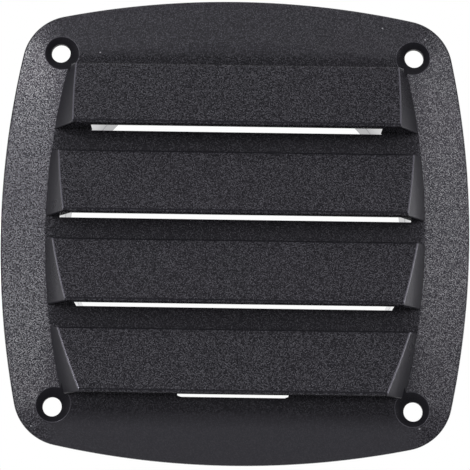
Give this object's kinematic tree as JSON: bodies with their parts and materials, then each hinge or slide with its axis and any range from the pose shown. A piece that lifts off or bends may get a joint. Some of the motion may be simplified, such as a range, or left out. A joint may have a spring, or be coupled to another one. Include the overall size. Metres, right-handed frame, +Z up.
{
  "type": "louvred ventilation grille",
  "caption": "Square bowed vent cover with hooded louvres, countersunk corner screw holes and a short round spigot behind.",
  "frame": {"origin": "centre of the back face, where the grille meets the wall, on the axis of the round spigot", "axes": "-Y out of the front towards the viewer, +Y into the wall along the spigot, +X to the viewer's right and +Z up the louvres"},
  "size_m": [0.127, 0.0288, 0.127],
  "materials": {
    "black_plastic": "fine spark-eroded grain, with smooth satin cheeks, lips and countersinks"
  },
  "bodies": {
    "root": {"grille": "black_plastic"}
  },
  "joints": []
}
